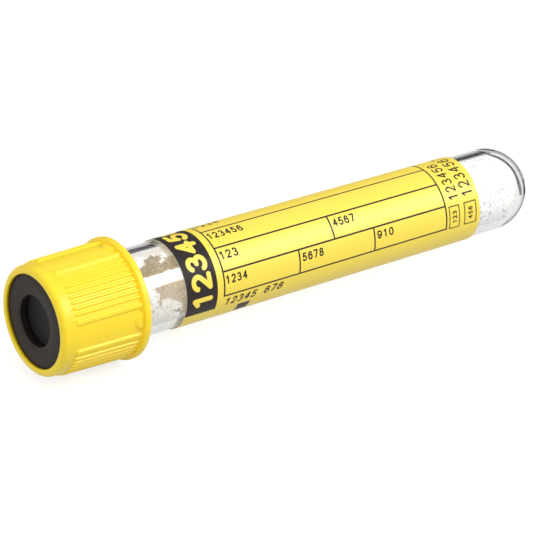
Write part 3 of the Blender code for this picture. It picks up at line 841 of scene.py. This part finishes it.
# Flexo ink, printed thin: black with a warm cast, and duller than the film it lies on.
black_ink, tree, shader = new_material("black_flexo_ink")
_, ink_tone = mottled_tone(tree, 0.15, 2.0, 0.5, ("1A1313", "261C1B"))
set_inputs(shader, {"Base Color": ink_tone, "Roughness": 0.5, "Specular IOR Level": 0.25})

# The film's back under its glue: creamy white and matt.
film_back, tree, shader = new_material("white_label_back")
_, back_tone = mottled_tone(tree, 1.2, 3.0, 0.6, ("E9E2C8", "F1ECDC"))
set_inputs(shader, {"Base Color": back_tone, "Roughness": 0.7})

label = scene_object("printed_label", printed_sheet())
label.matrix_world = TUBE_AXIS
# The film is thin enough to let light through to the powder, so it throws no shadow of its own.
label.visible_shadow = False
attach(label, "tube_body")
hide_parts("label")


# The stopper: one moulding of dark butyl rubber. Its dished top shows through the ring, its groove
# is held by the cap's collar, and its hollow plug closes the tube.
CAP_FRONT = 83.5
CAP_LENGTH = 13.6
CAP_REAR = CAP_FRONT - CAP_LENGTH
SEAT_GAP = 0.25
RING_RECESS = 0.4
RING_THICKNESS = 1.0
RING_REAR = CAP_FRONT - RING_RECESS - RING_THICKNESS
BEAD_THICKNESS = 1.0
BEAD_RADIUS = 6.0
COLLAR_THICKNESS = 0.8
COLLAR_OVERLAP = 0.55
HEAD_RADIUS = 6.35
DISH_RADIUS = 3.9
DISH_DEPTH = 0.45
PLUG_DEPTH = 5.5
PLUG_TAPER = 0.25
PLUG_LEAD_IN = 0.8
PLUG_RECESS_RADIUS = 2.5
PLUG_RECESS_DEPTH = 6.0
MOULD_EDGE = 0.12

bead_top = RING_REAR - SEAT_GAP
bead_base = bead_top - BEAD_THICKNESS
collar_top = bead_base - SEAT_GAP
collar_base = collar_top - COLLAR_THICKNESS
head_top = collar_base - SEAT_GAP
head_base = TUBE_LENGTH + SEAT_GAP
plug_end = TUBE_LENGTH - PLUG_DEPTH
collar_bore = BEAD_RADIUS - COLLAR_OVERLAP
groove_radius = collar_bore - SEAT_GAP
plug_radius = inner_mouth_radius - SEAT_GAP


def rounded_corner(r, z, start, end, size=MOULD_EDGE):
    """Arc that rounds a corner, for a corner whose outside lies at those degrees."""
    middle = math.radians((start + end) / 2)
    back = size * math.sqrt(2)
    return arc(r - back * math.cos(middle), z - back * math.sin(middle), size, start, end, 3)


dish_sphere = (DISH_RADIUS ** 2 + DISH_DEPTH ** 2) / (2 * DISH_DEPTH)
dish_centre = bead_top - DISH_DEPTH + dish_sphere
dish_angle = math.degrees(math.asin(DISH_RADIUS / dish_sphere))
recess_top = plug_end + PLUG_RECESS_DEPTH
lead_in_radius = plug_radius - PLUG_TAPER - PLUG_LEAD_IN / 2
stopper_section = arc(0, dish_centre, dish_sphere, -90, -90 + dish_angle, 16)
stopper_section += rounded_corner(BEAD_RADIUS, bead_top, 90, 0)
stopper_section += rounded_corner(BEAD_RADIUS, bead_base, 0, -90)
stopper_section += [(groove_radius, bead_base), (groove_radius, head_top)]
stopper_section += rounded_corner(HEAD_RADIUS, head_top, 90, 0)
stopper_section += rounded_corner(HEAD_RADIUS, head_base, 0, -90)
stopper_section += [(plug_radius, head_base), (plug_radius, TUBE_LENGTH - PLUG_DEPTH / 2)]
stopper_section += [(plug_radius - PLUG_TAPER, plug_end + PLUG_LEAD_IN)]
stopper_section += [(lead_in_radius, plug_end), (PLUG_RECESS_RADIUS, plug_end)]
stopper_section += arc(0, recess_top - PLUG_RECESS_RADIUS, PLUG_RECESS_RADIUS, 0, 90, 12)

# Butyl rubber, moulded matt: dark slate with a blue cast, and a fine bloom of 0.4 mm mottling that
# makes it a little paler in places.
rubber, tree, shader = new_material("dark_butyl_rubber")
bloom, rubber_tone = mottled_tone(tree, 0.4, 4.0, 0.6, ("151517", "1F1F22"))
rubber_skin = add_node(
    tree, "ShaderNodeBump", {"Height": bloom, "Strength": 0.3, "Distance": 0.03 * MM},
)
set_inputs(shader, {
    "Base Color": rubber_tone, "Normal": rubber_skin.outputs["Normal"],
    "Roughness": 0.6, "Specular IOR Level": 0.25,
})

ROUND_STEPS = 192
stopper = turned_piece("rubber_stopper", stopper_section, ROUND_STEPS, [rubber])
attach(stopper, "stopper_body")
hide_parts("stopper")


# The screw cap: one injection moulding of yellow polyethylene, with a rounded lip, four groups of
# grip ribs, a half-moon pip between them, and a flange where the tube enters.
CAP_FRONT_RADIUS = 7.75
CAP_REAR_RADIUS = 7.93
LIP_ROUNDING = 0.75
LIP_INNER_RADIUS = 6.64
LIP_EDGE = 0.15
FLANGE_RADIUS = 8.6
FLANGE_THICKNESS = 1.05
FLANGE_ROUNDING = 0.3
FLANGE_FRONT = CAP_REAR + FLANGE_THICKNESS
FLANGE_FILLET = 0.18
SKIRT_CHAMFER = 0.3
CAP_STEPS = 1200
CAP_END_ROW = 0.09
CAP_LONG_ROW = 0.9
CAP_PIP_ROW = 0.12
CAP_BORE_ROW = 0.16
FINE_RIBS = 8
FINE_RIB_PITCH = 5.8
BROAD_RIB_ANGLE = 28.8
RIB_START = 1.95
RIB_END_ROUNDING = 0.4
FINE_RIB_WIDTH = 0.44
FINE_RIB_HEIGHT = 0.25
BROAD_RIB_WIDTH = 0.85
BROAD_RIB_HEIGHT = 0.28
RIB_CLOCKING = -42.99
RIB_FLANK = 0.42
PIP_RADIUS = 1.2
PIP_HEIGHT = 0.26
PIP_SPREAD = 0.08
PIP_EDGE = 0.22
THREAD_SEAT_DROP = 1.0


def cap_radius(height):
    """Outer radius of the cap's plain wall, which widens towards the flange."""
    share = (CAP_FRONT - height) / (CAP_FRONT - FLANGE_FRONT)
    return CAP_FRONT_RADIUS + share * (CAP_REAR_RADIUS - CAP_FRONT_RADIUS)


def smooth(share):
    """Soft step from 0 to 1."""
    held = np.clip(share, 0, 1)
    return held * held * (3 - 2 * held)


def ribs_on_cap(radius, height, angle):
    """Radii of the cap's wall with its grip ribs and pips."""
    wall = cap_radius(height)
    turn = np.degrees(angle)
    proud = np.zeros(np.broadcast(height, angle).shape)
    end = smooth((CAP_FRONT - RIB_START - height) / RIB_END_ROUNDING)
    middle = (FINE_RIBS - 1) / 2
    ribs = [
        ((i - middle) * FINE_RIB_PITCH, FINE_RIB_WIDTH, FINE_RIB_HEIGHT) for i in range(FINE_RIBS)
    ]
    ribs += [(side * BROAD_RIB_ANGLE, BROAD_RIB_WIDTH, BROAD_RIB_HEIGHT) for side in (-1, 1)]
    for quarter in range(4):
        for offset, width, rise in ribs:
            off = (turn - RIB_CLOCKING - 90 * quarter - offset + 180) % 360 - 180
            edge = width * RIB_FLANK
            share = (width / 2 + edge / 3 - np.abs(np.radians(off)) * wall) / edge
            proud = np.maximum(proud, rise * smooth(share) * end)
        off = (turn - RIB_CLOCKING - 90 * quarter - 45 + 180) % 360 - 180
        reach = np.hypot(np.radians(off) * wall, height - FLANGE_FRONT)
        pip = smooth((PIP_RADIUS + PIP_SPREAD - reach) / PIP_EDGE)
        proud = np.maximum(proud, PIP_HEIGHT * pip)
    on_wall = (height >= FLANGE_FRONT - 0.001) & (height < CAP_FRONT - LIP_ROUNDING)
    return np.where(on_wall, np.maximum(radius, wall + proud), radius)


def thread_in_cap(radius, height, angle):
    """Radii of the cap's bore with the mating thread inside its skirt."""
    first = CAP_REAR + THREAD_FOOT
    turned = 2 * math.pi * (first - THREAD_START + THREAD_SEAT_DROP) / THREAD_LEAD
    ridge = thread_height(height, angle, first, turned + HALF_FACET)
    return np.where((height < TUBE_LENGTH) & (height > CAP_REAR + 0.2), radius - ridge, radius)


skirt_bore = MOUTH_RADIUS + THREAD_HEIGHT + SEAT_GAP
head_bore = HEAD_RADIUS + SEAT_GAP
bead_bore = BEAD_RADIUS + SEAT_GAP
lean = math.degrees(math.atan2(CAP_REAR_RADIUS - CAP_FRONT_RADIUS, CAP_FRONT - FLANGE_FRONT))
cap_outside = [(LIP_INNER_RADIUS, bead_top), (LIP_INNER_RADIUS, CAP_FRONT - RING_RECESS)]
cap_outside += arc(LIP_INNER_RADIUS + LIP_EDGE, CAP_FRONT - LIP_EDGE, LIP_EDGE, 180, 90, 4)
lip_r = CAP_FRONT_RADIUS - LIP_ROUNDING
cap_outside += arc(lip_r, CAP_FRONT - LIP_ROUNDING, LIP_ROUNDING, 90, lean, 9)
rib_end = CAP_FRONT - RIB_START
rib_rows = np.concatenate((
    np.arange(rib_end + 0.1, rib_end - 0.9, -CAP_END_ROW),
    np.arange(rib_end - 1.2, FLANGE_FRONT + 1.6, -CAP_LONG_ROW),
    np.arange(FLANGE_FRONT + 1.5, FLANGE_FRONT + FLANGE_FILLET, -CAP_PIP_ROW),
))
cap_outside += [(float(cap_radius(z)), float(z)) for z in rib_rows]
fillet_r = CAP_REAR_RADIUS + FLANGE_FILLET
cap_outside += arc(fillet_r, FLANGE_FRONT + FLANGE_FILLET, FLANGE_FILLET, 180, 270, 4)
round_r = FLANGE_RADIUS - FLANGE_ROUNDING
cap_outside += arc(round_r, FLANGE_FRONT - FLANGE_ROUNDING, FLANGE_ROUNDING, 90, 0, 5)
cap_outside += arc(round_r, CAP_REAR + FLANGE_ROUNDING, FLANGE_ROUNDING, 0, -90, 5)
cap_outside += [(skirt_bore + SKIRT_CHAMFER, CAP_REAR)]
cap_inside = [(skirt_bore + SKIRT_CHAMFER, CAP_REAR), (skirt_bore, CAP_REAR + SKIRT_CHAMFER)]
bore_rows = np.arange(CAP_REAR + 0.45, TUBE_LENGTH, CAP_BORE_ROW)
cap_inside += [(skirt_bore, float(z)) for z in bore_rows]
cap_inside += [(skirt_bore, TUBE_LENGTH), (head_bore, TUBE_LENGTH + skirt_bore - head_bore)]
cap_inside += [(head_bore, collar_base), (collar_bore, collar_base), (collar_bore, collar_top)]
cap_inside += [(bead_bore, collar_top), (bead_bore, bead_top), (LIP_INNER_RADIUS, bead_top)]

# Polyethylene, moulded in a finely spark-eroded tool: warm yellow, satin gloss, and a little light
# passes into it, so its grooves glow deeper yellow. The tool's texture is about 0.12 mm.
cap_plastic, tree, shader = new_material("yellow_moulded_polyethylene")
place = add_node(tree, "ShaderNodeTexCoord").outputs["Object"]
texture = add_node(
    tree, "ShaderNodeTexNoise",
    {"Vector": place, "Scale": per_mm(0.12), "Detail": 2.0, "Roughness": 0.5},
)
cloud, cap_tone = mottled_tone(tree, 3.5, 2.0, 0.5, ("FEDA12", "FFE020"))
cap_gloss = add_node(
    tree, "ShaderNodeMapRange",
    {"Value": cloud, "From Min": 0.3, "From Max": 0.7, "To Min": 0.38, "To Max": 0.45},
)
cap_skin = add_node(
    tree, "ShaderNodeBump",
    {"Height": texture.outputs["Fac"], "Strength": 0.1, "Distance": 0.02 * MM},
)
set_inputs(shader, {
    "Base Color": cap_tone, "Normal": cap_skin.outputs["Normal"],
    "Roughness": cap_gloss.outputs["Result"], "IOR": 1.52, "Specular IOR Level": 0.6,
    "Subsurface Weight": 0.25, "Subsurface Radius": (1.0, 0.7, 0.15),
    "Subsurface Scale": 0.5 * MM,
})

cap = turned_piece(
    "ribbed_screw_cap", cap_outside, CAP_STEPS, [cap_plastic], swell=ribs_on_cap, sharp=50.0,
)
lining = turned_piece(
    "cap_lining", cap_inside, CAP_STEPS // 4, [cap_plastic], swell=thread_in_cap,
)
bpy.context.view_layer.update()
with bpy.context.temp_override(active_object=cap, selected_editable_objects=[cap, lining]):
    bpy.ops.object.join()
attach(cap, "cap_body")
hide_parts("screw_cap")


# The ring: a flat black washer, moulded in polypropylene and pressed into the cap's front. It
# holds the stopper down, whose dished top shows through its hole.
RING_HOLE_RADIUS = 3.62
RING_EDGE = 0.12
RING_FIT = 0.05
ring_outer = LIP_INNER_RADIUS - RING_FIT
ring_front = CAP_FRONT - RING_RECESS
ring_section = rounded_corner(RING_HOLE_RADIUS, ring_front, 180, 90, RING_EDGE)
ring_section += rounded_corner(ring_outer, ring_front, 90, 0, RING_EDGE)
ring_section += [(ring_outer, RING_REAR), (RING_HOLE_RADIUS, RING_REAR)]

# Polypropylene filled with carbon black, moulded matt: near black with a warm cast and a fine
# 0.2 mm grain.
ring_plastic, tree, shader = new_material("black_moulded_polypropylene")
ring_grain, ring_tone = mottled_tone(tree, 0.2, 3.0, 0.6, ("150E0A", "201611"))
ring_skin = add_node(
    tree, "ShaderNodeBump", {"Height": ring_grain, "Strength": 0.25, "Distance": 0.02 * MM},
)
set_inputs(shader, {
    "Base Color": ring_tone, "Normal": ring_skin.outputs["Normal"],
    "Roughness": 0.5, "Specular IOR Level": 0.2,
})

ring = turned_piece("push_in_ring", ring_section, ROUND_STEPS, [ring_plastic], closed=True)
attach(ring, "cap_body")
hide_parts("cap_ring")


# The studio: a white table in a white room, and large soft lamps. The room's even light stands for
# the walls' reflected light.
TABLE_RADIUS = 0.7
TABLE_GAP = 0.02
TABLE_GLOW = 0.75
SHADE_THROUGH_WALL = 0.45
VIEW_TURN = math.radians(36.0)
VIEW_DROP = math.radians(28.118)
VIEW_ROLL = math.radians(-0.113)
CAMERA_PLACE = Vector((-0.297367, -0.404473, 0.272816))
CAMERA_LENS = 275.43


def seen_share(tree):
    """Light path, and whether its ray shows a surface: to the camera, in gloss or through."""
    path = add_node(tree, "ShaderNodeLightPath").outputs
    seen = path["Is Camera Ray"]
    for kind in ("Is Glossy Ray", "Is Transmission Ray"):
        either = add_node(tree, "ShaderNodeMath", {0: seen, 1: path[kind]}, operation="MAXIMUM")
        seen = either.outputs[0]
    return path, seen


# Painted white board, matt, with a faint mottle of 17 mm. It glows to seen rays alone, so it shows
# white and still takes the object's shadow.
white_table, tree, shader = new_material("painted_white_board")
_, table_tone = mottled_tone(tree, 16.7, 2.0, 0.5, ("A8A8A8", "ACACAC"))
path, seen = seen_share(tree)
# Through the clear wall the table glows less: painted shade, for the shade under the tube.
dimming = add_node(
    tree, "ShaderNodeMath", {0: path["Is Transmission Ray"], 1: SHADE_THROUGH_WALL},
    operation="MULTIPLY",
)
kept = add_node(tree, "ShaderNodeMath", {0: seen, 1: dimming.outputs[0]}, operation="SUBTRACT")
glow = add_node(tree, "ShaderNodeMath", {0: kept.outputs[0], 1: TABLE_GLOW}, operation="MULTIPLY")
set_inputs(shader, {
    "Base Color": table_tone, "Roughness": 0.9, "Specular IOR Level": 0.1,
    "Emission Color": (1.0, 1.0, 1.0, 1.0), "Emission Strength": glow.outputs[0],
})

table_mesh = bpy.data.meshes.new("studio_table")
shape = bmesh.new()
bmesh.ops.create_circle(shape, cap_ends=True, segments=96, radius=TABLE_RADIUS)
shape.to_mesh(table_mesh)
shape.free()
table_mesh.materials.append(white_table)
table = scene_object("studio_table", table_mesh)
table.location.z = cad_low.z - TABLE_GAP * MM

ROOM_LIGHT = 0.55
world = bpy.data.worlds.new("studio_room")
bpy.context.scene.world = world
world.use_nodes = True
tree = world.node_tree
tree.nodes.clear()
_, seen = seen_share(tree)
shown = add_node(tree, "ShaderNodeMix", {0: seen, 2: ROOM_LIGHT, 3: 1.0})
glow = add_node(tree, "ShaderNodeBackground", {"Color": (1, 1, 1, 1), "Strength": shown.outputs[0]})
add_node(tree, "ShaderNodeOutputWorld", {"Surface": glow.outputs["Background"]})

# Two strips of card, sprayed from pale at one edge to dark at the other, stand out of the picture:
# one in an arc behind the tube, one bent round past its bottom. The clear wall picks them up as the
# dark line along its upper edge and round its bottom.
CARD_DISTANCE = 0.42
CARD_HEIGHT = 0.19
CARD_DARK_FROM = 0.45
CARD_FIRST = 50.0
CARD_LAST = -15.0
BENT_CARD_REACH = 0.05
BENT_CARD_LIFT = 0.0004
BENT_CARD_FIRST = 8.0
BENT_CARD_LAST = 96.0
BENT_CARD_ROWS = (44.5, 48.0, 58.0)
CARD_COLUMNS = 31

dark_card, tree, shader = new_material("sprayed_grey_card")
card_shade = add_node(tree, "ShaderNodeAttribute", attribute_name="sprayed")
card_tone = add_node(
    tree, "ShaderNodeMix",
    {0: card_shade.outputs["Fac"], 6: linear("8E8288"), 7: linear("241C1A")},
    data_type="RGBA",
)
set_inputs(shader, {
    "Base Color": card_tone.outputs[2], "Roughness": 1.0, "Specular IOR Level": 0.0,
})


def card_strip(name, places):
    """Strip of card from rows of three points, pale at the first, seen in gloss and plastic."""
    mesh = bpy.data.meshes.new(name)
    first = range(0, 3 * (len(places) - 1), 3)
    faces = [(c + s, c + s + 1, c + s + 4, c + s + 3) for c in first for s in (0, 1)]
    mesh.from_pydata([point for row in places for point in row], [], faces)
    sprayed = mesh.attributes.new("sprayed", "FLOAT", "POINT")
    sprayed.data.foreach_set("value", [0.0, 1.0, 1.0] * len(places))
    mesh.materials.append(dark_card)
    card = scene_object(name, mesh)
    card.visible_camera = False
    card.visible_diffuse = False
    card.visible_shadow = False


back_rows = []
for turn in np.radians(np.linspace(CARD_FIRST, CARD_LAST, CARD_COLUMNS)):
    x, y = CARD_DISTANCE * math.sin(turn), CARD_DISTANCE * math.cos(turn)
    back_rows.append([(x, y, z) for z in (0.0, CARD_DARK_FROM * CARD_HEIGHT, CARD_HEIGHT)])
card_strip("studio_back_card", back_rows)

view_axes = Matrix.Rotation(-VIEW_TURN, 3, "Z") @ Matrix.Rotation(math.pi / 2 - VIEW_DROP, 3, "X")
bottom_middle = bottom_tip + outward * SHOULDER_RADIUS * MM
bent_rows = []
for turn in np.radians(np.linspace(BENT_CARD_FIRST, BENT_CARD_LAST, CARD_COLUMNS)):
    row = []
    for spread in np.radians(BENT_CARD_ROWS):
        wide = math.sin(spread)
        aim = Vector((wide * math.sin(turn), wide * math.cos(turn), -math.cos(spread)))
        aim = view_axes @ aim
        reach = BENT_CARD_REACH
        if aim.z < 0:
            reach = min(reach, (bottom_middle.z - BENT_CARD_LIFT) / -aim.z)
        row.append(tuple(bottom_middle + aim * reach))
    bent_rows.append(row)
card_strip("studio_bent_card", bent_rows)


def soft_box(name, direction_from, distance, width, height, strength, seen_in_gloss=True):
    """Soft box aimed at the object, from a direction, with its power for each square metre."""
    data = bpy.data.lights.new(name, "AREA")
    data.shape = "RECTANGLE"
    data.size = width
    data.size_y = height
    data.energy = strength * width * height
    lamp = scene_object(name, data)
    away = Vector(direction_from).normalized()
    lamp.location = away * distance
    lamp.rotation_mode = "QUATERNION"
    lamp.rotation_quaternion = away.to_track_quat("Z", "Y")
    lamp.visible_camera = False
    lamp.visible_transmission = False
    lamp.visible_glossy = seen_in_gloss


soft_box("key_soft_box", (0.54, -0.60, 0.575), 0.65, 0.36, 0.27, 25.0)
soft_box("top_soft_box", (-0.1, -0.1, 1.0), 0.8, 0.7, 0.7, 2.5, seen_in_gloss=False)
soft_box("front_fill", (-0.95, -0.45, 0.35), 0.9, 0.6, 0.4, 9.0, seen_in_gloss=False)

camera_data = bpy.data.cameras.new("photo_camera")
camera_data.lens = CAMERA_LENS
camera_data.sensor_width = 36.0
camera_data.clip_start = 0.01
camera_data.clip_end = 10.0
camera = scene_object("photo_camera", camera_data)
camera.location = CAMERA_PLACE
camera.rotation_euler = (math.pi / 2 - VIEW_DROP, VIEW_ROLL, -VIEW_TURN)
bpy.context.scene.camera = camera
bpy.context.scene.view_settings.view_transform = "Standard"
